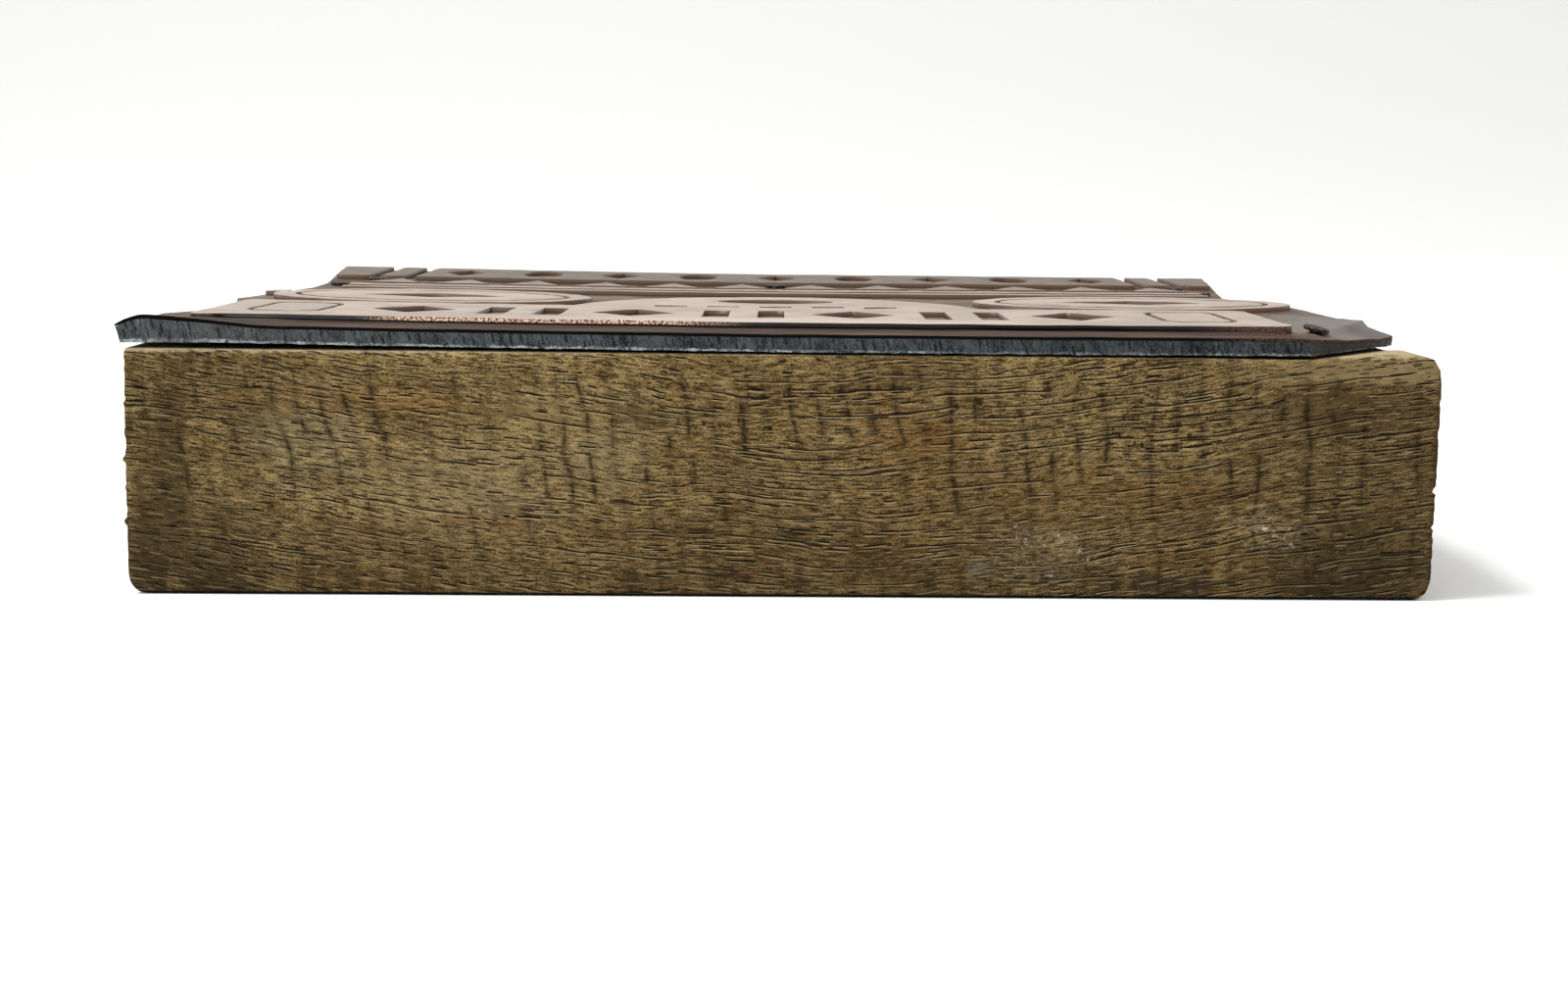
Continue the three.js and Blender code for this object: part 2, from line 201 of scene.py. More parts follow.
def larger(first, *others):
    """The largest of several numbers."""
    for other in others:
        first = first.step("MAXIMUM", other)
    return first


def span(value, low, high, to_low=0.0, to_high=1.0):
    """Maps a number from one range to another, clamped, with soft ends."""
    inputs = {"Value": value, "From Min": low, "From Max": high, "To Min": to_low, "To Max": to_high}
    return Value(add(value.tree, "ShaderNodeMapRange", inputs, interpolation_type="SMOOTHSTEP").outputs["Result"])


def mixed(factor, first, second, blend="MIX"):
    """The second colour over the first."""
    inputs = {0: factor, 6: first, 7: second}
    return Value(add(factor.tree, "ShaderNodeMix", inputs, data_type="RGBA", blend_type=blend).outputs[2])


def colour(red, green, blue):
    """A colour as it looks on a screen, from 0 to 255, as the linear one that shaders use."""
    parts = []
    for value in (red, green, blue):
        share = value / 255
        parts.append(share / 12.92 if share <= 0.04045 else ((share + 0.055) / 1.055) ** 2.4)
    return (*parts, 1.0)


def stain(under, mask, strength, tint, blend="MIX"):
    """A screen colour laid over another one where a mask says so."""
    return mixed(mask * strength, under, colour(*tint), blend)


def grainy(place, cells=(1.0, 1.0, 1.0), detail=3.0, roughness=0.55, scale=1.0):
    """Noise from 0 to 1, with a number of cells to the millimetre each way."""
    inputs = {"Vector": place * cells, "Scale": scale, "Detail": detail, "Roughness": roughness}
    return Value(add(place.tree, "ShaderNodeTexNoise", inputs).outputs["Fac"])


def bumped(height, depth, strength):
    """Which way the surface faces once a pattern raises it."""
    inputs = {"Height": height, "Distance": depth, "Strength": strength}
    return Value(add(height.tree, "ShaderNodeBump", inputs).outputs[0])


def drawn(tree, name):
    """A number that the mesh itself carries under a name."""
    return Value(add(tree, "ShaderNodeAttribute", attribute_name=name, attribute_type="GEOMETRY").outputs["Fac"])


def facing(tree):
    """Which way the face itself points, before any smoothing."""
    return Value(add(tree, "ShaderNodeNewGeometry").outputs["True Normal"])


def new_material(name):
    """An empty material, its shader and a place on the piece counted in millimetres."""
    material = bpy.data.materials.new(name)
    material.use_nodes = True
    place = Value(add(material.node_tree, "ShaderNodeTexCoord").outputs["Object"])
    return material, material.node_tree.nodes["Principled BSDF"], place * (1 / MM, 1 / MM, 1 / MM)


# %% [markdown]
# ## Shared effects
#
# Four effects turn up on the old surfaces here. Patches are broad uneven stains. A spot is one stain with a known
# place, its rim broken up so that it never looks like a circle. Scratches are fine streaks that run one way, used
# for sheared metal and for rubbed copper. Dashes are separate short marks, each with a mask for a lip just below
# it, where the wood gets a painted highlight.


# %% Node groups
def new_group(name, vectors, numbers, results=("Mask",)):
    """A node group with vectors and numbers in and numbers out: the group, what it is given and its end."""
    group = bpy.data.node_groups.new(name, "ShaderNodeTree")
    sockets = [(label, "INPUT", "NodeSocketVector") for label in vectors]
    sockets += [(label, "INPUT", "NodeSocketFloat") for label in numbers]
    sockets += [(label, "OUTPUT", "NodeSocketFloat") for label in results]
    for label, side, kind in sockets:
        group.interface.new_socket(label, in_out=side, socket_type=kind)
    given = [Value(socket) for socket in group.nodes.new("NodeGroupInput").outputs if socket.name]
    return group, given, group.nodes.new("NodeGroupOutput")


def make_patches():
    """The more cover, the lower the noise at which a patch starts."""
    group, (place, scale, cover), result = new_group("patches", ["Place"], ["Scale", "Cover"])
    start = 0.72 - cover * 0.42
    broad = grainy(place, detail=5.0, roughness=0.6, scale=scale)
    fill(result, {"Mask": span(broad, start, start + 0.16)})
    return group


def make_spot():
    """The distance from the middle is counted in reaches, and noise shifts it at the rim."""
    group, given, result = new_group("spot", ["Place", "Middle", "Reach"], ["Ragged"])
    place, middle, reach, ragged = given
    away = ((place - middle) / reach).step("LENGTH")
    rim = grainy(place, (0.35, 0.35, 0.9), detail=4.0)
    fill(result, {"Mask": span(away + (rim - 0.5) * ragged, 0.25, 1.0, 1.0, 0.0)})
    return group


def make_scratches():
    """The softer the scratches, the wider the range of noise between no mark and a full one."""
    group, (place, cells, softness), result = new_group("scratches", ["Place", "Cells"], ["Softness"])
    low = 0.5 - softness * 0.45
    fill(result, {"Mask": span(grainy(place, cells, detail=4.0, roughness=0.7), low, 1.0 - low)})
    return group


def make_dashes():
    """One mark in each cell of an uneven net. Half is half its size, and some share of the marks is missing.

    The part of the distance that points out of the surface is left out, so a mark shows in full on any side."""
    vectors = ["Place", "Outward", "Cell", "Half"]
    group, given, result = new_group("dashes", vectors, ["Missing"], ("Mask", "Lip"))
    place, outward, cell, half, missing = given
    cells = place / cell
    node = add(group, "ShaderNodeTexVoronoi", {"Vector": cells, "Scale": 1.0}, feature="F1")
    offset = (cells - Value(node.outputs["Position"])) * cell
    offset = offset - outward * offset.step("DOT_PRODUCT", outward)
    chance = Value(node.outputs["Color"])
    half = half * (chance * (0.7, 0.45, 0.45) + (0.3, 0.55, 0.55))
    present = split(chance)[1].step("GREATER_THAN", missing)
    for label, off in (("Mask", offset), ("Lip", half * (0.0, 0.0, 1.6) + offset)):
        shares = off / half
        x, y, z = split(shares * shares)
        fill(result, {label: span(x * x + y + z, 0.5, 1.1, 1.0, 0.0) * present})
    return group


GROUPS = {"patches": make_patches(), "spot": make_spot(), "scratches": make_scratches(), "dashes": make_dashes()}
print("groups:", sorted(GROUPS))


# %% Effects in use
def use(name, place, *values):
    """Places a shared effect, with its inputs in order, and returns its mask, or its mask and its lip."""
    node = add(place.tree, "ShaderNodeGroup", enumerate((place, *values)), node_tree=GROUPS[name])
    results = [Value(socket) for socket in node.outputs]
    return results if len(results) > 1 else results[0]


# %% [markdown]
# ## Floor and light
#
# The photograph has a white table that runs on into a pale wall, and very soft light from above. A sheet that
# bends up into a wall has no seam to draw. It is made by extruding one line of points.

# %% Floor and wall
FLOOR_FRONT = -1.5
FLOOR_BACK = 0.75
SWEEP_RADIUS = 0.35
WALL_TOP = 1.2
FLOOR_HALF_WIDTH = 2.2
SWEEP_STEPS = 16


def smooth_object(name, bm):
    """Turns a bmesh into a smooth object in the scene."""
    mesh = bpy.data.meshes.new(name)
    bm.to_mesh(mesh)
    bm.free()
    mesh.polygons.foreach_set("use_smooth", [True] * len(mesh.polygons))
    return link(name, mesh)


def make_sweep():
    """A flat table that bends up into a wall behind it."""
    bm = bmesh.new()
    line = [(FLOOR_FRONT, 0.0)]
    for step in range(SWEEP_STEPS + 1):
        angle = math.pi / 2 * step / SWEEP_STEPS
        across = FLOOR_BACK + SWEEP_RADIUS * math.sin(angle)
        line.append((across, SWEEP_RADIUS * (1 - math.cos(angle))))
    line.append((FLOOR_BACK + SWEEP_RADIUS, WALL_TOP))
    verts = [bm.verts.new((-FLOOR_HALF_WIDTH, y, z)) for y, z in line]
    edges = [bm.edges.new(pair) for pair in zip(verts, verts[1:])]
    grown = bmesh.ops.extrude_edge_only(bm, edges=edges)["geom"]
    moved = [part for part in grown if isinstance(part, bmesh.types.BMVert)]
    bmesh.ops.translate(bm, vec=(2 * FLOOR_HALF_WIDTH, 0, 0), verts=moved)
    bmesh.ops.recalc_face_normals(bm, faces=bm.faces)
    return smooth_object("table_and_wall", bm)


sweep = make_sweep()

# %% Light
KEY_PLACE = (-0.46, -0.16, 0.88)
KEY_SIZE = 0.28
KEY_WATTS = 8.5
SKY_TOP = 1.0
SKY_EDGE = 0.3
SKY_EDGE_HEIGHT = 0.45
SKY_COLOUR = (1.0, 1.0, 0.99, 1.0)


def make_window():
    """A square light that faces the block."""
    data = bpy.data.lights.new("window", "AREA")
    data.size = KEY_SIZE
    data.energy = KEY_WATTS
    light = link("window", data)
    light.location = KEY_PLACE
    light.rotation_euler = (-Vector(KEY_PLACE)).to_track_quat("-Z", "Y").to_euler()


def make_sky():
    """A pale sky that is brightest overhead and dim near the horizon, like a room lit from its ceiling."""
    world = bpy.data.worlds.new("studio")
    world.use_nodes = True
    direction = Value(add(world.node_tree, "ShaderNodeTexCoord").outputs["Generated"])
    strength = span(split(direction)[2], 0.0, SKY_EDGE_HEIGHT, SKY_EDGE, SKY_TOP)
    fill(world.node_tree.nodes["Background"], {"Color": SKY_COLOUR, "Strength": strength})
    bpy.context.scene.world = world


make_window()
make_sky()
bpy.context.scene.view_settings.view_transform = "Standard"
bpy.context.scene.view_settings.look = "None"


# %% [markdown]
# ## The floor's finish
#
# The table is plain white paper, a little brighter than the camera can hold. Where it turns up into the wall it
# is painted greyer, as painted shade for the dimmer light there.

# %% White table
paper, paper_shader, paper_place = new_material("white_paper")
# Painted shade: the sheet is painted greyer where it turns up into the wall, as the wall gets less light.
wall_share = span(split(paper_place)[1], FLOOR_BACK / MM, FLOOR_BACK / MM + 300.0)
paper_white = mixed(wall_share, (0.9, 0.9, 0.89, 1.0), (0.81, 0.81, 0.795, 1.0))
fill(paper_shader, {"Base Color": paper_white, "Roughness": 0.9})
sweep.data.materials.append(paper)


# %% [markdown]
# ## Old hardwood
#
# Bare close-grained wood, grey-brown with age. Its fibres dip in the middle of the front like a hammock, so the
# height in every pattern is taken along that curve. Vessels cut by the saw show as short dark dashes along the
# fibres, and darker flecks stand in upright rows about two millimetres apart. The two ends show the rings round
# the tree's heart instead, and the vessels as pores. Stains sit where handling, solvent and ink left them.


# %% Grain and flecks
GRAIN_SLOPE, GRAIN_MIDDLE, GRAIN_TURN = 0.15, 4.0, 18.0
FLECK_PITCH, FLECK_LEAN, FLECK_FAN = 2.2, 0.09, -0.0016
FLECK_LEVEL = 10.0
HEART = (0.0, 14.0, -46.0)


def bent_place(x, y, z, place):
    """The place on the wood with its height bent along the fibres, and a slow drift on top."""
    drift = grainy(place, (0.05, 0.03, 0.12), detail=2.0)
    wiggle = grainy(place, (0.35, 0.5, 0.9), detail=2.0)
    offset = x - GRAIN_MIDDLE
    far = (offset * offset + GRAIN_TURN**2).step("SQRT")
    return joined(x, y, far * -GRAIN_SLOPE + z + drift * 3.0 + wiggle * 0.25)


def flecks(x, y, z, place, crowded):
    """Upright rows of dark flecks that fan out a little: each row is broken in its own way and swells to blots.

    The second mask is a soft shade round the darkest stretches."""
    lean = x * FLECK_FAN + FLECK_LEAN
    wander = grainy(place, (0.13, 0.1, 0.1), detail=2.0)
    shiver = grainy(place, (0.9, 0.1, 1.6), detail=2.0)
    count = (lean * (z - FLECK_LEVEL) + x + wander * 3.0 + shiver * 0.3) / FLECK_PITCH
    off = abs(count.step("FRACT") - 0.5)
    own = joined(count.step("FLOOR") * 7.3, y, z)
    stretches = grainy(own, (1.0, 0.1, 0.2), detail=1.0)
    blots = grainy(own, (1.0, 0.1, 0.75), roughness=0.6)
    strength = blots * 0.6 + stretches * 0.4 + crowded * 0.05
    width = span(strength, 0.44, 0.64, 0.04, 0.16)
    line = span(off / width, 0.0, 1.0, 1.0, 0.0) * span(strength, 0.46, 0.6)
    shade = span(off, 0.05, 0.34, 1.0, 0.0) * span(strength, 0.37, 0.56)
    return line, shade


# %% [markdown]
# The stains are a plain list. Each has its middle on the front in X and Z, how far it reaches in X, Y and Z, how
# ragged its rim is, how strong it is and its colour.

# %% Plain and stained wood
STAINS = (
    ((-41, 14.0), (7, 30, 6), 1.2, 0.38, (116, 109, 84)),
    ((-27, 9.5), (13, 30, 6), 1.2, 0.35, (140, 124, 92)),
    ((-20, 15.5), (9, 30, 5), 1.2, 0.3, (140, 120, 82)),
    ((-15, 12.0), (6, 30, 3.5), 1.2, 0.3, (134, 122, 92)),
    ((12.0, 14.5), (7.5, 12, 3.4), 2.4, 0.45, (100, 66, 26)),
    ((14.0, 13.9), (4.0, 9, 1.4), 2.4, 0.4, (84, 50, 18)),
    ((-37, 17), (17, 12, 1.8), 2.0, 0.35, (108, 72, 30)),
    ((-2.5, 1.9), (4.5, 8, 0.6), 1.2, 0.6, (72, 30, 16)),
    ((1.6, 5.8), (2.2, 8, 0.45), 1.0, 0.85, (20, 13, 7)),
    ((-6.6, 5.9), (2.6, 8, 0.5), 1.6, 0.7, (28, 18, 9)),
    ((-12.0, 16.0), (3.5, 8, 2.6), 1.8, 0.35, (66, 58, 42)),
    ((17.5, 2.6), (1.6, 8, 1.2), 1.8, 0.5, (122, 118, 106)),
    ((33, 9.5), (12, 16, 1.6), 2.0, 0.35, (88, 60, 24)),
    ((-25, 6.6), (6, 12, 0.8), 2.0, 0.35, (112, 66, 32)),
    ((36, 4.2), (9, 16, 2.6), 2.0, 0.35, (104, 74, 32)),
    ((33, 1.4), (5.5, 12, 1.3), 2.0, 0.7, (42, 37, 30)),
    ((49, 3.5), (9, 20, 5.5), 1.8, 0.5, (60, 52, 30)),
    ((47, 16.4), (10, 20, 3.2), 1.8, 0.45, (66, 52, 34)),
    ((-52, 5), (6.5, 20, 8), 1.6, 0.5, (60, 50, 32)),
)


def front_spot(place, middle, reach, ragged=1.2):
    """A spot on the front face."""
    return use("spot", place, (middle[0], wood_low.y / MM, middle[1]), reach, ragged)


def plain_wood(x, place, bent):
    """The wood from fine grain to broad clouds: its colour, its fine tone and its middling clouds."""
    fibres = grainy(bent, (0.9, 6.0, 5.5), detail=4.0, roughness=0.72)
    speckle = grainy(place, (5.0, 5.0, 6.0), roughness=0.75)
    broad = grainy(bent, (0.035, 0.08, 0.14), detail=4.0, roughness=0.6)
    middling = grainy(bent, (0.16, 0.5, 0.7), roughness=0.6)
    tone = speckle * 0.45 + fibres * 0.55
    base = mixed(span(tone, 0.4, 0.61), colour(44, 32, 14), colour(164, 139, 91))
    base = stain(base, span(broad, 0.4, 0.66), 0.4, (90, 64, 28))
    base = stain(base, span(middling, 0.46, 0.66), 0.45, (66, 50, 26))
    return stain(base, span(x, -22.0, 8.0), 0.14, (62, 44, 20)), tone, middling


def stained(base, x, z, place, bent):
    """The stains of the list, the soiled left end and foot, and mottles along the lower part."""
    for middle, reach, ragged, strength, tint in STAINS:
        base = stain(base, front_spot(place, middle, reach, ragged), strength, tint)
    smudges = grainy(place, (0.42, 0.1, 0.07), detail=4.0, roughness=0.65)
    left_end = span(x, -42.0, -52.0)
    base = stain(base, left_end * span(smudges, 0.4, 0.62), 0.65, (48, 38, 20))
    base = stain(base, left_end, 0.2, (72, 56, 30))
    base = stain(base, span(z, 6.0, 1.5) * span(smudges, 0.46, 0.6), 0.5, (44, 34, 18))
    base = stain(base, span(x, 36.0, 52.0), 0.44, (50, 39, 22))
    low_part = span(z, 14.0, 3.0, 0.25, 1.0) * span(x, -34.0, -4.0)
    base = stain(base, use("patches", bent * (0.22, 0.3, 0.4), 1.0, 0.62) * low_part, 0.36, (34, 25, 11))
    return stain(base, span(z, 9.0, 0.0), 0.26, (42, 32, 15))


def worn_and_highlit_edges(base, x, z, flakes):
    """The right corner, rubbed pale, and the upper edge, pale from wear and from a painted highlight where its
    round catches the light from above.
    """
    ragged = flakes * 0.9 + z
    top = wood_high.z / MM
    base = stain(base, span(x, 36.0, 50.0) * span(ragged, 19.0, 19.9), 0.34, (172, 150, 108))
    # Partly wear, partly painted highlight: the upper edge is painted pale where its rounded edge catches the
    # light from above.
    return stain(base, span(ragged, top + 0.36, top + 0.6), 0.6, (184, 168, 134))


# %% Marks in the wood
def flecked(base, x, y, z, place, outward):
    """The rows of flecks, with blobs where they crowd together."""
    spotted = larger(
        front_spot(place, (-2, 16.0), (14, 9, 3.2)),
        front_spot(place, (31, 15.0), (12, 9, 4.5)),
        front_spot(place, (17, 16.8), (5, 9, 2.2)),
    )
    marks, shade = flecks(x, y, z, place, spotted)
    shown = span(z, 3.0, 12.0, 0.5, 1.0) * span(z, 18.0, 20.0, 1.0, 0.3)
    base = stain(base, shade * shown, 0.42, (54, 41, 19))
    base = stain(base, marks * shown, 0.8, (30, 21, 10))
    blobs = use("dashes", place, outward, (1.9, 1.9, 1.5), (0.3, 0.3, 0.42), 0.5)[0]
    return stain(base, blobs * spotted, 0.85, (30, 20, 10))


def vessels(x, bent, outward):
    """Vessels that the saw laid open. Three masks: pale fibres, dark slots and the lips below them, where a
    highlight is painted.
    """

    def marks(cell, half, missing, shift=0.0):
        return use("dashes", bent + (shift, shift, shift), outward, cell, half, missing)

    to_right = span(x, -25.0, 0.0)
    scarce = span(grainy(bent, (0.12, 0.3, 0.3), detail=2.0), 0.38, 0.62, 0.75, 0.0)
    short, short_lit_lip = marks((3.0, 0.6, 0.6), (1.5, 0.08, 0.08), to_right * 0.15 + scarce)
    tiny, _ = marks((1.5, 0.5, 0.5), (0.75, 0.075, 0.075), 0.35, 31.7)
    long, long_lit_lip = marks((17.0, 1.25, 1.25), (9.0, 0.09, 0.09), span(to_right, 0.0, 1.0, 0.85, 0.1), 57.3)
    pale, _ = marks((2.2, 0.55, 0.55), (1.1, 0.08, 0.08), 0.5, 83.9)
    bare_top = span(split(outward)[2], 0.4, 0.9, 1.0, 0.2)
    even_end = span(x, -36.0, -46.0, 1.0, 0.35).step("MINIMUM", span(x, 30.0, 44.0, 1.0, 0.5))
    dark = larger(short, tiny * 0.7, long * 0.9) * bare_top
    lit_lips = larger(short_lit_lip, long_lit_lip * 0.8) * (bare_top * even_end)
    return pale, dark, lit_lips


def painted(base, place, flakes):
    """Flakes of old paint in a haze of their dust."""
    near = larger(front_spot(place, (23, 4.2), (7, 8, 3.5)), front_spot(place, (42.3, 6.2), (4, 8, 2.5)))
    base = stain(base, span(flakes, 0.59, 0.65) * near, 0.9, (196, 190, 176))
    return stain(base, span(flakes, 0.45, 0.6) * near, 0.25, (150, 140, 120))


def end_grain(base, x, place, middling, outward):
    """The two sawn ends: darker, with rings round the tree's heart and vessels as pores."""
    end = wood_high.x / MM
    ends = span(abs(x), end - 0.5, end - 0.1)
    base = stain(base, ends, 0.35, (66, 50, 28))
    radius = middling * 1.5 + (place * (0.0, 1.0, 1.0) - HEART).step("LENGTH")
    rings = grainy(joined(radius), roughness=0.7, scale=1.1)
    base = stain(base, ends * span(rings, 0.44, 0.64), 0.5, (50, 36, 17))
    pores = use("dashes", place, outward, (0.8, 0.8, 0.8), (0.17, 0.17, 0.17), 0.15)[0]
    return stain(base, ends * pores, 0.75, (26, 17, 8))


# %% Wood finish
def make_wood():
    material, shader, place = new_material("old_hardwood")
    x, y, z = split(place)
    bent = bent_place(x, y, z, place)
    outward = facing(place.tree)
    flakes = grainy(place, (1.3, 2.0, 2.0), detail=4.0, roughness=0.8)
    base, tone, middling = plain_wood(x, place, bent)
    base = worn_and_highlit_edges(stained(base, x, z, place, bent), x, z, flakes)
    base = flecked(base, x, y, z, place, outward)
    pale, dark, lit_lips = vessels(x, bent, outward)
    base = stain(base, pale, 0.28, (176, 156, 116))
    # Painted highlight on the lip below each vessel, where light from above would catch it.
    base = stain(base, lit_lips, 0.42, (186, 164, 120))
    base = stain(base, dark, 0.97, (12, 6, 3))
    base = end_grain(painted(base, place, flakes), x, place, middling, outward)
    # Painted contact shadow: the lowest fraction of a millimetre of the block is painted near-black, as the shade
    # where it meets the table.
    base = stain(base, span(z, 0.4, 0.22), 0.97, (12, 10, 8))
    inputs = {
        "Base Color": base,
        "Roughness": span(tone, 0.3, 0.7, 0.9, 0.7),
        "Specular IOR Level": 0.08,
        "Normal": bumped(tone * 0.8 - dark + lit_lips * 0.4, 0.13 * MM, 1.0),
    }
    fill(shader, inputs)
    return material


wood_finish = make_wood()
print("wood nodes:", len(wood_finish.node_tree.nodes))


# %% [markdown]
# ## Helpers for dressed copies of the model's nodes
#
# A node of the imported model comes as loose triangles. A copy of it is welded, its flat faces are joined again,
# and then it can be cut finer wherever its surface needs to be shaped.


# %% Mesh helpers
WELD = 0.002 * MM


def welded_copy(node):
    """The node's shape as one connected mesh."""
    bm = bmesh.new()
    bm.from_mesh(frame["nodes"][node].data)
    bmesh.ops.remove_doubles(bm, verts=bm.verts, dist=WELD)
    return bm


def flattened(bm, angle=math.radians(0.2)):
    """Joins neighbouring faces that lie in one plane."""
    bmesh.ops.dissolve_limit(bm, angle_limit=angle, verts=bm.verts, edges=bm.edges, delimit={"NORMAL"})


def cut(bm, place, normal, parts=None):
    """Cuts a mesh, or some parts of it, by a plane."""
    parts = bm.verts[:] + bm.edges[:] + bm.faces[:] if parts is None else parts
    return bmesh.ops.bisect_plane(bm, geom=parts, dist=WELD, plane_co=place, plane_no=normal)


def sliced(bm, axis, low, high, step):
    """Cuts the whole mesh by evenly spaced planes across one axis."""
    normal = Vector([1.0 if number == axis else 0.0 for number in range(3)])
    count = max(1, round((high - low) / step))
    for number in range(1, count):
        cut(bm, normal * (low + (high - low) * number / count), normal)


def finished(name, bm, material, smooth=math.radians(35)):
    """Turns a bmesh into a piece that rides on the block, with its sharp edges kept."""
    bmesh.ops.triangulate(bm, faces=[f for f in bm.faces if len(f.verts) > 4])
    piece = smooth_object(name, bm)
    piece.data.set_sharp_from_angle(angle=smooth)
    piece.data.materials.append(material)
    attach(piece, "root")
    print(name, len(piece.data.polygons), "faces")
    return piece


def ripple(place, cell, seed):
    """Smooth noise between -1 and 1 at a place, counted in cells of a size."""
    return noise.noise(Vector(place) / cell + Vector((seed, seed * 0.37, -seed)))


# %% [markdown]
# ## The wood block
#
# The block was sawn and planed, then knocked about for a century. Its faces wave a little, its ends have lost
# fibres in ragged steps, and its edges are bruised. The shape is cut into a fine net so that these can be real.

# %% Wood block
WOOD_STEPS = (0.62 * MM, 1.5 * MM, 0.26 * MM)
FACE_WAVE, WAVE_CELL = 0.05 * MM, 14 * MM
FIBRE_STEP, FIBRE_CELL, FIBRE_SAG = 0.05 * MM, 0.8 * MM, 1.3
END_TEAR, MOST_GROWN = 0.42 * MM, -0.32
LEDGE_HEIGHT, LEDGE_DEPTH = 0.55, 3.1 * MM
LEFT_TEAR, LEFT_TEAR_RISE, LEFT_TEAR_START, LEFT_TEAR_SPAN = 0.3, 0.35, 12 * MM, 9 * MM
# notches at the right end and teeth at the left: height and half size in millimetres, depth as a share of the tear
NOTCHES = ((9.7, 0.32, 0.75), (6.5, 0.28, 0.5), (14.9, 0.2, 0.2))
TEETH = ((11.8, 0.3, 0.75), (6.4, 0.28, 0.75), (14.2, 0.2, 0.4), (16.6, 0.22, 0.45), (9.3, 0.2, 0.35))
TEAR_REACH = 1.2 * MM
FOOT_ROUND, FOOT_HEIGHT, FOOT_REACH = 0.9 * MM, 2.6 * MM, 6 * MM
FOOT_STEP, FOOT_STEP_HEIGHT = 0.14 * MM, 0.3 * MM
TOP_RISE, LEFT_RISE, CORNER_RISE = 0.04 * MM, 0.32 * MM, 0.48 * MM
LEFT_RISE_LENGTH = 80 * MM
RISE_DEPTH = 3 * MM
CORNER_LINE = Vector((45.5, -44.8)) * MM
CORNER_OUTWARD = Vector((11.8, -10.3)).normalized()
BARE_REACH, SIDE_GAP, SIDE_REACH = 3 * MM, 0.1 * MM, 0.7 * MM
BARE_BACK, BARE_FADE = -20 * MM, 8 * MM


def inward(place):
    """Which way is into the wood from a point near its surface: nowhere at the foot, which stays flat."""
    if place.z <= FOOT_STEP_HEIGHT:
        return Vector((0, 0, 0))
    sides = [
        (place.x - wood_low.x, Vector((1, 0, 0))),
        (wood_high.x - place.x, Vector((-1, 0, 0))),
        (place.y - wood_low.y, Vector((0, 1, 0))),
        (wood_high.y - place.y, Vector((0, -1, 0))),
        (wood_high.z - place.z, Vector((0, 0, -1))),
    ]
    return min(sides, key=lambda side: side[0])[1]


def end_tear(place):
    """How much of the fibre ends is torn away at the two ends of the block, in ledges with notches or teeth."""
    reach = min(place.x - wood_low.x, wood_high.x - place.x)
    if reach > TEAR_REACH:
        return 0.0
    ledge = math.floor((place.z / MM + 0.5 * ripple(place, 6 * MM, 3)) / LEDGE_HEIGHT)
    step = noise.cell(Vector((ledge, math.floor(place.y / LEDGE_DEPTH), 0.5 if place.x > 0 else 1.5)))
    fine = 0.5 + 0.5 * ripple((place.x, place.y, place.z * 4), 2.4 * MM, 9)
    torn = 0.5 * max(0.0, step - 0.5) + 0.15 * fine
    if place.x < 0:
        torn += LEFT_TEAR + LEFT_TEAR_RISE * clamped((place.z - LEFT_TEAR_START) / LEFT_TEAR_SPAN)
    for height, half, depth in NOTCHES if place.x > 0 else TEETH:
        share = abs(place.z / MM - height) / half
        torn += (depth if place.x > 0 else -depth) * max(0.0, 1 - share * share)
    return END_TEAR * max(MOST_GROWN, torn) * (1 - reach / TEAR_REACH)


def foot_round(place):
    """How far the foot of each end is worn back, most at the right."""
    share = clamped(1 - place.z / FOOT_HEIGHT)
    near_end = clamped(1 - (wood_high.x - abs(place.x)) / FOOT_REACH)
    return (FOOT_ROUND if place.x > 0 else 0.4 * FOOT_ROUND) * share**2.2 * near_end


def top_rise(place):
    """How far the top stands proud: a little everywhere, more at its left end and at the bare right corner."""
    left = clamped((wood_low.x + LEFT_RISE_LENGTH - place.x) / LEFT_RISE_LENGTH)
    beyond = (Vector((place.x, place.y)) - CORNER_LINE).dot(CORNER_OUTWARD)
    bare = clamped(max(beyond / BARE_REACH, (place.x - lead_high.x - SIDE_GAP) / SIDE_REACH))
    bare *= clamped((BARE_BACK - place.y) / BARE_FADE)
    share = clamped((place.z - wood_high.z + RISE_DEPTH) / RISE_DEPTH)
    return (TOP_RISE + LEFT_RISE * left**1.4 + CORNER_RISE * bare) * share


def make_wood_block():
    bm = welded_copy("wood_block")
    flattened(bm)
    for axis, step in enumerate(WOOD_STEPS):
        sliced(bm, axis, wood_low[axis], wood_high[axis], step)
    for vert in bm.verts:
        place = vert.co.copy()
        wave = FACE_WAVE * (0.5 + 0.5 * ripple(place, WAVE_CELL, 1))
        sag = place.x * place.x * FIBRE_SAG
        fibre = ripple((place.x * 0.12, place.y, place.z - sag), FIBRE_CELL, 2)
        vert.co = place + inward(place) * (wave + FIBRE_STEP * max(0.0, fibre))
        tear = end_tear(place) + foot_round(place)
        vert.co.x += tear if place.x < 0 else -tear
        step = FOOT_STEP * clamped(1 - place.z / FOOT_STEP_HEIGHT)
        vert.co.y -= step if place.y > 0 else -step
        vert.co.z += top_rise(place)
    return finished("worn_wood_block", bm, wood_finish, math.radians(50))


wood_block = make_wood_block()
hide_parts("wood_block")


# %% [markdown]
# ## How the plate has settled
#
# The plate is soft and old. Its left front corner has curled up and its tip has been rounded over, the right front
# corner was hammered down on the far side of a crease, and nothing is quite flat. The copper and the lead move
# together, so one function gives the shift for both.

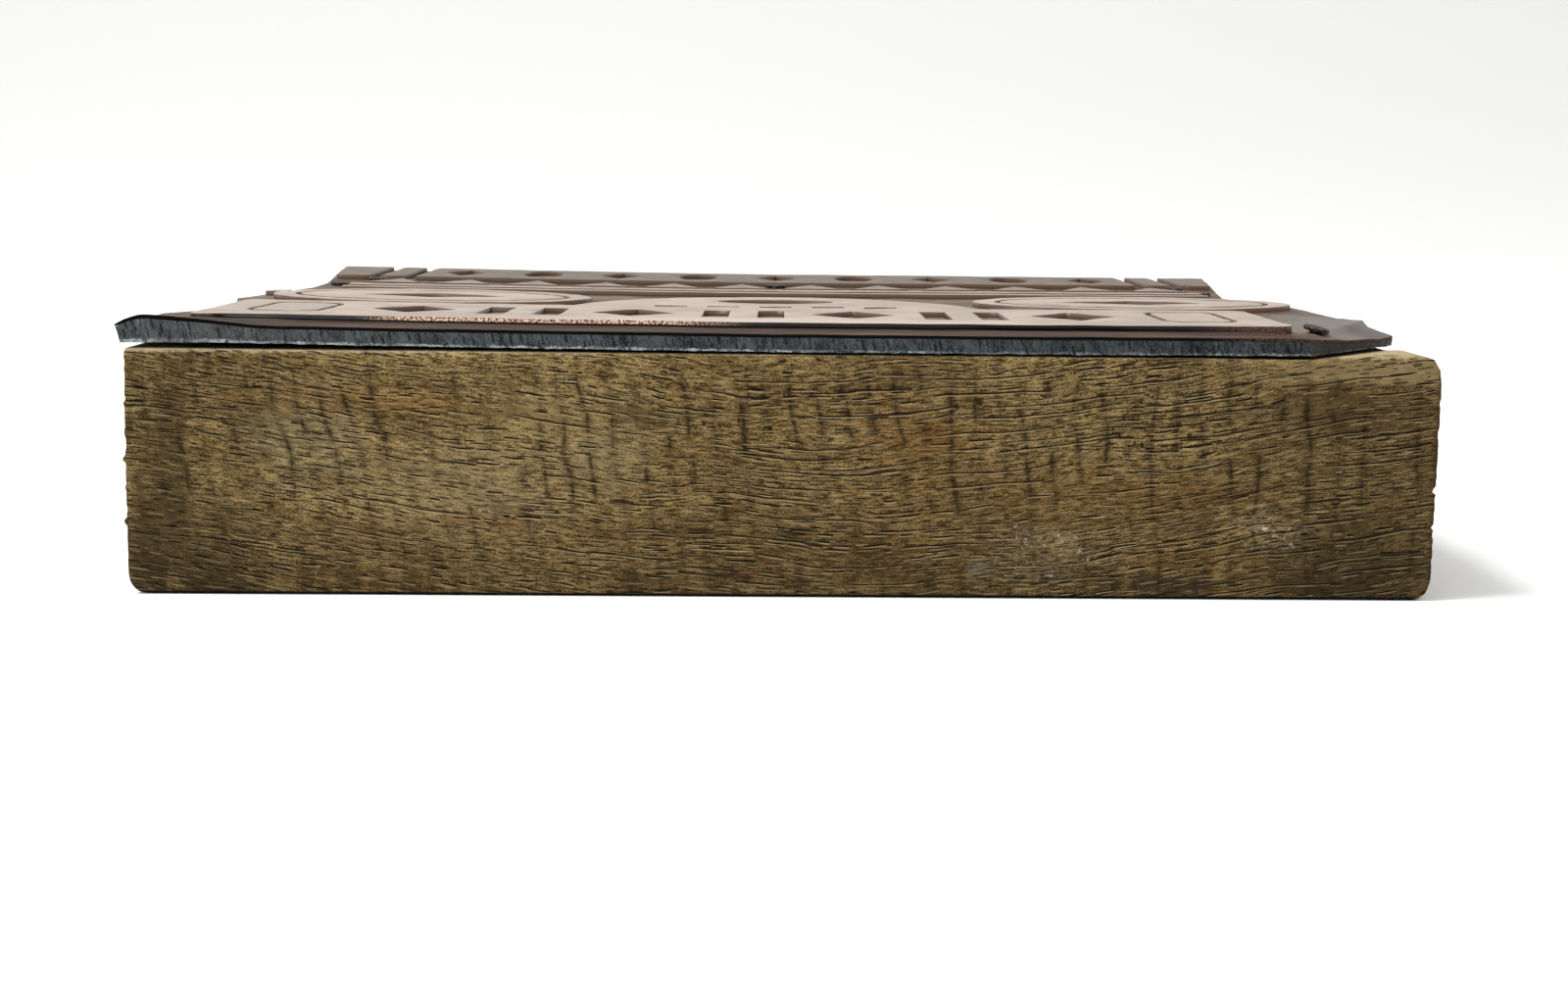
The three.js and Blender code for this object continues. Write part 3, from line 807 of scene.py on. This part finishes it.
# %% Settling
SWELL_HEIGHT, SWELL_RADIUS = 0.62 * MM, 9 * MM
SWELL_MIDDLE = (lead_low.x + 3 * MM, lead_low.y)
DIP_DEPTH, DIP_RADIUS = 0.8 * MM, 11 * MM
DIP_MIDDLE = (lead_high.x - 2 * MM, lead_low.y + 11.8 * MM)
CURL_HEIGHT = 0.42 * MM
CURL_MIDDLE = (lead_low.x + 3.2 * MM, lead_low.y)
CURL_REACH = (9.5 * MM, 3.4 * MM)
TIP_DROP, TIP_REACH = 0.6 * MM, 2.7 * MM
TIP_DEPTH = 9 * MM
CREASE_START = Vector((47.0, -38.2)) * MM
CREASE_END = Vector((55.8, -24.0)) * MM
CREASE_HEIGHT, CREASE_BEHIND, CREASE_AHEAD = 0.46 * MM, 3.6 * MM, 0.9 * MM
FLAP_DEPTH, FLAP_REACH = 0.06 * MM, 4.5 * MM
CUT_MIDDLE, CUT_REACH, CUT_DEPTH = (49 * MM, -41.5 * MM), (6.5 * MM, 6.5 * MM), 0.35 * MM
FRONT_LIFT, FRONT_LIFT_START, FRONT_LIFT_LENGTH = 0.12 * MM, -22 * MM, 12 * MM
FRONT_LIFT_RISE, FRONT_LIFT_END, FRONT_LIFT_FADE = 9 * MM, 25 * MM, 35 * MM
UNEVEN = 0.035 * MM
NET_COARSE, NET_ACROSS, NET_DEEP = 3.4 * MM, 0.8 * MM, 0.9 * MM
NET_SIDE, NET_FRONT = 45 * MM, -22 * MM


def bulge(x, y, middle, reach):
    """A smooth round hill of height 1."""
    share = math.hypot((x - middle[0]) / reach[0], (y - middle[1]) / reach[1])
    return (1 - share * share) ** 2 if share < 1 else 0.0


def ground(x, y):
    """The height of the low ground over its true level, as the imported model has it."""
    swell = SWELL_HEIGHT * bulge(x, y, SWELL_MIDDLE, (SWELL_RADIUS, SWELL_RADIUS))
    dip = DIP_DEPTH * bulge(x, y, DIP_MIDDLE, (DIP_RADIUS, DIP_RADIUS))
    return lift(x, y) + swell - dip


def crease(x, y):
    """A fold across the right front corner: a ridge along a line, and the flap beyond it bent down."""
    along = CREASE_END - CREASE_START
    offset = Vector((x, y)) - CREASE_START
    share = offset.dot(along) / along.length_squared
    beyond = (offset.x * along.y - offset.y * along.x) / along.length
    width = CREASE_AHEAD if beyond > 0 else CREASE_BEHIND
    ridge = CREASE_HEIGHT * max(0.0, 1 - abs(beyond) / width) ** 1.4
    flap = FLAP_DEPTH * clamped(beyond / FLAP_REACH)
    return (ridge - flap) * clamped(share * 2 + 0.4)


def settle(x, y):
    """How far the plate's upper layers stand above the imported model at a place."""
    shift = CURL_HEIGHT * bulge(x, y, CURL_MIDDLE, CURL_REACH)
    tip = clamped(1 - (x - lead_low.x) / TIP_REACH) * clamped(1 - (y - lead_low.y) / TIP_DEPTH)
    shift -= TIP_DROP * tip * tip
    shift += crease(x, y) - CUT_DEPTH * bulge(x, y, CUT_MIDDLE, CUT_REACH)
    return shift + UNEVEN * ripple((x, y, 0), 3.1 * MM, 5) + 0.5 * UNEVEN * ripple((x, y, 0), 1.1 * MM, 8)


def front_lift(x, y):
    """How far the plate has sprung up along the left half of its front edge, its underside as well."""
    hump = min(clamped((x - lead_low.x) / FRONT_LIFT_RISE), clamped((FRONT_LIFT_END - x) / FRONT_LIFT_FADE))
    return FRONT_LIFT * hump * clamped((FRONT_LIFT_START - y) / FRONT_LIFT_LENGTH)


def plate_cuts(low, high, fine_low, fine_high, coarse, fine):
    """Places for cutting planes: close together below and above two limits, wider between them."""
    places, place = [], low
    while place < high - 0.3 * fine:
        place += fine if place < fine_low or place > fine_high else coarse
        places.append(place)
    return places[:-1]


def cut_plate(bm):
    """Cuts a layer of the plate into a net that can be bent, close at its ends, its front and along the crease."""
    across = plate_cuts(lead_low.x, lead_high.x, -NET_SIDE, NET_SIDE, NET_COARSE, NET_ACROSS)
    deep = plate_cuts(lead_low.y, lead_high.y, NET_FRONT, lead_high.y, NET_COARSE, NET_DEEP)
    for axis, places in ((Vector((1, 0, 0)), across), (Vector((0, 1, 0)), deep)):
        for place in places:
            cut(bm, axis * place, axis)
    along = CREASE_END - CREASE_START
    cut(bm, (*CREASE_START, 0), Vector((along.y, -along.x, 0)).normalized())


# %% [markdown]
# ## Lead alloy
#
# The backing was cast, planed and sheared to size. A shear leaves leaning upright marks on the cut edge and a
# bright burr along its foot. The metal itself is dark blue-grey, and browner at the old lifted end.


# %% Lead finish
def make_lead():
    material, shader, place = new_material("sheared_lead")
    x, y, z = split(place)
    leaning = joined(z * 0.2 + x, y, z)
    coarse = use("scratches", leaning, (0.6, 0.6, 0.16), 0.85)
    fine = use("scratches", leaning, (4.0, 4.0, 1.0), 0.85)
    grains = use("scratches", place, (6.0, 6.0, 6.0), 0.8)
    marks = grains * 0.35 + (fine * 0.35 + coarse * 0.3)
    base = mixed(span(marks, 0.22, 0.78), colour(5, 6, 8), colour(84, 90, 93))
    base = mixed(span(x, 0.0, 44.0, 0.0, 0.3), base, colour(14, 16, 18))
    base = stain(base, span(x, -22.0, -50.0), 0.4, (62, 60, 58), "SCREEN")
    strokes = use("dashes", leaning, facing(place.tree), (0.8, 1.0, 1.2), (0.13, 0.16, 0.75), 0.3)[0]
    base = stain(base, strokes, 0.75, (5, 6, 8))
    rough_cut = mixed(grains, colour(12, 12, 12), colour(84, 84, 80))
    base = mixed(span(x, 45.2, 46.0) * 0.6, base, rough_cut)

    # the bright burr along the foot, broken up by noise and by gaps
    specks = grainy(place, (2.6, 2.6, 2.6), detail=4.0, roughness=0.8)
    waves = grainy(place, (0.7, 0.7, 0.0), roughness=0.6)
    gaps = grainy(place, (0.22, 0.22, 0.0), roughness=0.6)
    ragged = drawn(place.tree, "burr") + specks * (waves * 1.4 - 0.35)
    bright = span(ragged, 0.62, 0.95) * span(specks, 0.42, 0.56) * span(gaps, 0.38, 0.6, 0.3, 1.0)
    bright = bright * span(x, -5.0, 25.0, 0.85, 0.45)
    inputs = {
        "Base Color": mixed(bright, base, colour(176, 180, 182)),
        "Metallic": 0.35,
        "Roughness": span(marks, 0.0, 1.0, 0.7, 0.5),
        "Specular IOR Level": 0.15,
        "Normal": bumped(marks + specks * 0.5, 0.06 * MM, 0.9),
    }
    fill(shader, inputs)
    return material


lead_finish = make_lead()


# %% [markdown]
# ## The lead backing
#
# Only the edge of the backing shows, so that is where the work goes. The upright sides are cut into rows, and
# their corners are pushed about: a ripple from the shear that leaves the top row in line with the copper, and a
# ragged burr that hangs from the foot.

# %% Lead backing
LEAD_THICKNESS, SOLDER_GAP = 1.2 * MM, 0.04 * MM
LEAD_BOTTOM = FACE_LEVEL - RELIEF - COPPER_THICKNESS - SOLDER_GAP - LEAD_THICKNESS
SIDE_STRIP, SIDE_ROWS = 0.28 * MM, 6
SHEAR_RIPPLE, BURR_DROP = 0.06 * MM, 0.09 * MM
BURR_SHARE, BRIGHT_SHARE = 0.2, 0.34
END_LEAN = 0.3 * MM


def height_share(place):
    """0 at the underside of the backing, 1 at its top."""
    low = LEAD_BOTTOM + lift(place.x, place.y)
    high = LEAD_BOTTOM + LEAD_THICKNESS + ground(place.x, place.y)
    return (place.z - low) / (high - low)


nail_boxes = [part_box(name) for name in sorted(frame["nodes"]) if name.startswith("nail_")]


def is_outer_side(face):
    """Whether a face is part of the upright outline of the backing, not of a core or a nail hole."""
    if abs(face.normal.z) > 0.3 or min(height_share(v.co) for v in face.verts) > 0.1:
        return False
    ahead = face.calc_center_median() + face.normal * 0.4 * MM
    return not any(low.x < ahead.x < high.x and low.y < ahead.y < high.y for low, high in nail_boxes)


def around(faces):
    """Faces with their edges and corners, each of them once."""
    return list(dict.fromkeys(part for face in faces for part in (face, *face.edges, *face.verts)))


def divide_sides(bm):
    """Cuts the outer sides of the backing into narrow upright strips and level rows."""
    mark = bm.faces.layers.int.new("side")
    for face in bm.faces:
        face[mark] = 1 if is_outer_side(face) else 0
    waiting = [face for face in bm.faces if face[mark]]
    count = round((lead_high.x - lead_low.x) / SIDE_STRIP)
    for number in range(1, count):
        place = lead_low.x + (lead_high.x - lead_low.x) * number / count
        waiting = [f for f in waiting if max(v.co.x for v in f.verts) > place]
        crossed = [f for f in waiting if min(v.co.x for v in f.verts) < place]
        made = cut(bm, (place, 0, 0), (1, 0, 0), around(crossed))
        edges = [part for part in made["geom_cut"] if isinstance(part, bmesh.types.BMEdge)]
        waiting = list(dict.fromkeys([*waiting, *(f for e in edges for f in e.link_faces if f[mark])]))
    for vert in bm.verts:
        vert.co.z -= lift(vert.co.x, vert.co.y)
    for row in range(1, SIDE_ROWS):
        level = LEAD_BOTTOM + LEAD_THICKNESS * row / SIDE_ROWS
        cut(bm, (0, 0, level), (0, 0, 1), around(f for f in bm.faces if f[mark]))
    for vert in bm.verts:
        vert.co.z += lift(vert.co.x, vert.co.y)
    return mark


def make_lead_backing():
    bm = welded_copy("lead_backing")
    flattened(bm, math.radians(0.05))
    cut_plate(bm)
    burr = bm.verts.layers.float.new("burr")
    mark = divide_sides(bm)
    bm.normal_update()
    side_verts = {vert for face in bm.faces if face[mark] for vert in face.verts}
    for vert in bm.verts:
        place, share = vert.co.copy(), height_share(vert.co)
        move = Vector((0, 0, settle(place.x, place.y) * clamped(share) + front_lift(place.x, place.y)))
        if vert in side_verts:
            outward = Vector((vert.normal.x, vert.normal.y, 0)).normalized()
            lower = 1 - clamped(share)
            push = ripple((place.x + 0.2 * place.z, place.y, place.z * 0.3), 0.9 * MM, 6) - 0.55
            move += outward * SHEAR_RIPPLE * push * min(1.0, lower * 3)
            hang = clamped(1 - share / BURR_SHARE)
            ragged = 0.4 + 0.7 * ripple(place, 0.55 * MM, 4) + 0.5 * ripple(place, 2.7 * MM, 7)
            move.z -= BURR_DROP * hang * max(0.0, ragged)
            vert[burr] = clamped(1 - share / BRIGHT_SHARE)
            near_tip = clamped(1 - (place.x - lead_low.x) / TIP_REACH)
            near_tip *= clamped(1.6 - (place.y - lead_low.y) / TIP_DEPTH)
            move.x += END_LEAN * lower * near_tip
        vert.co = place + move
    return finished("lead_plate", bm, lead_finish)


lead_backing = make_lead_backing()
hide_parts("lead_backing")


# %% [markdown]
# ## Copper
#
# The face has been rubbed by ink rollers and paper until it is pink and bright. The low ground was never
# touched, so it is brown with old ink and oxide; a painted sheen makes it greyer at the right and painted shade
# darkens the bent-down flap. The walls between the two are dark, and nearly black along the front, where that is
# painted shade under the raised edge, partly dirt. The rim of every raised shape has worn to bare metal in a row
# of bright grains.


# %% Copper finish
def low_ground(x, y, place, cloud, fine):
    """The brown low ground: greyer at the right from a painted sheen, darker on the flap from painted shade,
    streaky along the front.
    """
    floor = mixed(span(cloud, 0.36, 0.64), colour(84, 70, 60), colour(120, 105, 93))
    floor = stain(floor, fine, 0.3, (66, 52, 43))
    # Painted sheen: the open ground at the right is painted greyer and lighter, as the white room reflected at a
    # grazing angle.
    floor = stain(floor, use("spot", place, (52, -28, 22.6), (9.5, 17, 8), 0.8), 0.8, (114, 109, 105))
    # Painted shade: the flap beyond the crease is painted darker, as it slopes away from the light.
    floor = stain(floor, use("spot", place, (54.5, -31.5, 22.3), (5, 6.5, 8), 0.5), 0.55, (66, 61, 60))
    lines = use("scratches", place, (0.07, 1.2, 1.0), 0.9)
    streaky = mixed(span(lines, 0.3, 0.98), colour(32, 23, 17), colour(100, 79, 66))
    strip = span(y, -36.8, -38.4) * span(x, 47.0, 44.0)
    return mixed(strip * 0.92, floor, streaky)


def printing_face(place, cloud, fine, grains, far):
    """The face that rollers and paper rubbed pink, browner towards the back."""
    face = mixed(span(cloud, 0.35, 0.65), colour(157, 141, 128), colour(181, 164, 150))
    face = stain(face, use("spot", place, (0, -37, 23.3), (34, 7, 4), 0.8), 0.55, (214, 199, 184))
    face = stain(face, span(grains, 0.55, 0.7), 0.4, (128, 109, 97))
    face = stain(face, fine, 0.18, (158, 118, 98))
    return mixed(far, face, colour(84, 70, 56))


def with_walls(base, x, y, place, level, wall, rim):
    """Walls painted black along most of the front as shade under the raised edge, partly dirt, dotted with bare
    copper at its left, brown further back, and rims.
    """
    dots = grainy(place, (4.5, 4.5, 4.5), detail=2.0, roughness=0.8)
    at_front = span(y, -37.2, -37.9)
    dotted = span(x, -38.0, -33.0) * span(x, -2.0, -12.0)
    bare = mixed(span(dots, 0.46, 0.56), colour(84, 46, 28), colour(236, 198, 172))
    brown = mixed(level, colour(62, 47, 38), colour(100, 80, 66))
    # Painted shade, partly dirt: the walls along the front are painted near-black, as the shade under the raised
    # edge.
    sides = mixed(at_front, brown, colour(9, 6, 5))
    sides = mixed(span(x, 35.0, 44.0) * span(dots, 0.36, 0.56), sides, colour(86, 58, 47))
    sides = mixed(span(level, 0.25, 0.5) * (dotted * at_front), sides, bare)
    dark_rim = mixed(span(dots, 0.5, 0.6), colour(44, 28, 22), colour(196, 160, 140))
    light_rim = mixed(span(dots, 0.4, 0.5), colour(112, 88, 76), colour(206, 188, 174))
    edge = mixed(span(x, -10.0, -2.0), mixed(dotted, dark_rim, bare), light_rim)
    return mixed(rim * at_front, mixed(wall, base, sides), edge)


def make_copper():
    material, shader, place = new_material("printing_copper")
    x, y, _ = split(place)
    level, wall, rim = [drawn(place.tree, name) for name in ("level", "wall", "rim")]
    grains = grainy(place, (5.0, 5.0, 6.0), roughness=0.75)
    cloud = grainy(place, (0.16, 0.16, 0.16), detail=5.0, roughness=0.6)
    fine = use("scratches", place, (2.2, 4.0, 4.0), 0.6)
    far = span(y, 2.0, 26.0, 0.0, 0.92)
    raised = span(level, 0.45, 0.75)
    base = mixed(raised, low_ground(x, y, place, cloud, fine), printing_face(place, cloud, fine, grains, far))
    tarnish = use("patches", place * (0.5, 0.22, 0.5), 1.0, 0.55) * span(y, 8.0, 24.0)
    base = stain(base, tarnish, 0.55, (52, 38, 29))
    duller = far * -0.75 + 1.0
    height = grains * 0.5 + grainy(place, detail=4.0, roughness=0.6, scale=1.2)
    inputs = {
        "Base Color": with_walls(base, x, y, place, level, wall, rim),
        "Metallic": span(raised * (1.0 - wall), 0.0, 1.0, 0.0, 0.45) * duller,
        "Roughness": span(level, 0.3, 0.8, 0.55, 0.4),
        "Specular IOR Level": span(level, 0.2, 0.8, 0.04, 0.3) * duller,
        "Normal": bumped(height, 0.05 * MM, 0.6),
    }
    fill(shader, inputs)
    return material


copper_finish = make_copper()


# %% [markdown]
# ## The copper shell
#
# A copy of the shell is welded, and the rims of its raised shapes are bevelled by a tenth of a millimetre so that
# they catch the light. Then it is cut into a net and bent with the lead. Each corner of the net keeps how high it
# stands, and each face whether it is a wall or a rim, for the finish to read.

# %% Copper shell
RIM_WIDTH = 0.065 * MM
RIM_WANDER = 0.03 * MM


def level_of(place):
    """0 on the low ground, 1 on the printing face."""
    return (place.z - (FACE_LEVEL - RELIEF) - ground(place.x, place.y)) / RELIEF


def rim_edges(bm):
    """Edges where a printing face turns down into a wall."""
    found = []
    for edge in bm.edges:
        if len(edge.link_faces) != 2:
            continue
        upper, lower = sorted(edge.link_faces, key=lambda f: -f.normal.z)
        middle = (edge.verts[0].co + edge.verts[1].co) / 2
        falls = lower.calc_center_median().z < middle.z - 0.02 * MM
        if upper.normal.z > 0.8 and abs(lower.normal.z) < 0.6 and falls and level_of(middle) > 0.5:
            found.append(edge)
    return found


def make_copper_shell():
    bm = welded_copy("copper_shell")
    flattened(bm, math.radians(0.05))
    rim = bm.faces.layers.float.new("rim")
    wall = bm.faces.layers.float.new("wall")
    level = bm.verts.layers.float.new("level")
    edges = rim_edges(bm)
    made = bmesh.ops.bevel(
        bm, geom=edges, offset=RIM_WIDTH, segments=1, profile=0.5, affect="EDGES", material=-1, clamp_overlap=True
    )
    for face in made["faces"]:
        face[rim] = 1.0
    cut_plate(bm)
    bm.normal_update()
    for face in bm.faces:
        face[wall] = 1.0 if abs(face.normal.z) < 0.6 else 0.0
    for vert in bm.verts:
        place = vert.co
        vert[level] = level_of(place)
        place.z += settle(place.x, place.y) + front_lift(place.x, place.y)
        if vert[level] > 0.5:
            share = 1.0 if any(face[rim] for face in vert.link_faces) else 0.2
            place.z -= RIM_WANDER * max(0.0, ripple(place, 0.8 * MM, 11)) * share
    print("rims bevelled:", len(edges))
    return finished("copper_face", bm, copper_finish)


copper_shell = make_copper_shell()
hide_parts("copper_shell")


# %% [markdown]
# ## Brads
#
# Small flat-headed nails, cut from wire and struck once in a die. Each head is a profile spun round its axis,
# with a worn rim and a slightly sunk, dented crown. A head lies along the copper under it, so it tilts with it.


# %% Nail finish
def make_nail_finish():
    material, shader, place = new_material("tarnished_steel")
    base = mixed(use("patches", place, 1.6, 0.6), colour(9, 8, 8), colour(26, 22, 20))
    grains = grainy(place, (6.0, 6.0, 6.0))
    bright = drawn(place.tree, "worn") * 0.6 * span(grains, 0.52, 0.66)
    inputs = {
        "Base Color": mixed(bright, base, colour(150, 138, 128)),
        "Metallic": 0.6,
        "Roughness": 0.5,
        "Normal": bumped(grains, 0.05 * MM, 0.7),
    }
    fill(shader, inputs)
    return material


nail_finish = make_nail_finish()

# %% Nails
HEAD_RADIUS = 1.15 * MM
HEAD_THICKNESS = 0.36 * MM
SHANK_RADIUS = 0.6 * MM
POINT_LENGTH = 2 * MM
NAIL_STEPS = 40
HEAD_DENT = 0.05 * MM


def level_at(x, y):
    """The height of the bent ground over its true level."""
    return ground(x, y) + settle(x, y)


def nail_profile(top, bottom):
    """Half of a nail cut down its middle, from the crown to the point."""
    under = top - HEAD_THICKNESS
    return [
        (0.0, top - 0.05 * MM),
        (0.35 * HEAD_RADIUS, top - 0.03 * MM),
        (0.7 * HEAD_RADIUS, top - 0.005 * MM),
        (0.9 * HEAD_RADIUS, top),
        (0.98 * HEAD_RADIUS, top - 0.05 * MM),
        (HEAD_RADIUS, top - 0.13 * MM),
        (0.98 * HEAD_RADIUS, under + 0.06 * MM),
        (0.92 * HEAD_RADIUS, under),
        (SHANK_RADIUS, under),
        (SHANK_RADIUS, bottom + POINT_LENGTH),
        (0.0, bottom),
    ]


def make_nail(node):
    low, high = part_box(node)
    middle = (low + high) / 2
    profile = nail_profile(high.z - middle.z, low.z - middle.z)
    bm = bmesh.new()
    verts = [bm.verts.new((across, 0, up)) for across, up in profile]
    edges = [bm.edges.new(pair) for pair in zip(verts, verts[1:])]
    bmesh.ops.spin(
        bm, geom=verts + edges, cent=(0, 0, 0), axis=(0, 0, 1), angle=math.tau, steps=NAIL_STEPS, use_merge=True
    )
    bmesh.ops.remove_doubles(bm, verts=bm.verts, dist=0.001 * MM)
    bmesh.ops.recalc_face_normals(bm, faces=bm.faces)
    worn = bm.verts.layers.float.new("worn")
    slope = 0.8 * MM
    tilt_x = (level_at(middle.x + slope, middle.y) - level_at(middle.x - slope, middle.y)) / (2 * slope)
    tilt_y = (level_at(middle.x, middle.y + slope) - level_at(middle.x, middle.y - slope)) / (2 * slope)
    for vert in bm.verts:
        across = math.hypot(vert.co.x, vert.co.y) / HEAD_RADIUS
        head = clamped((vert.co.z - (high.z - middle.z - 2 * HEAD_THICKNESS)) / HEAD_THICKNESS)
        vert[worn] = clamped((across - 0.8) * 8) * head
        dent = HEAD_DENT * max(0.0, ripple(vert.co + middle, 0.9 * MM, 13)) * head * (1 - 0.6 * across)
        vert.co.z += (tilt_x * vert.co.x + tilt_y * vert.co.y) * head - dent
        vert.co += middle + Vector((0, 0, settle(middle.x, middle.y))) * head
    piece = finished(node.replace("nail", "brad"), bm, nail_finish, math.radians(40))
    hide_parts(node)


for node in sorted(frame["nodes"]):
    if node.startswith("nail_"):
        make_nail(node)
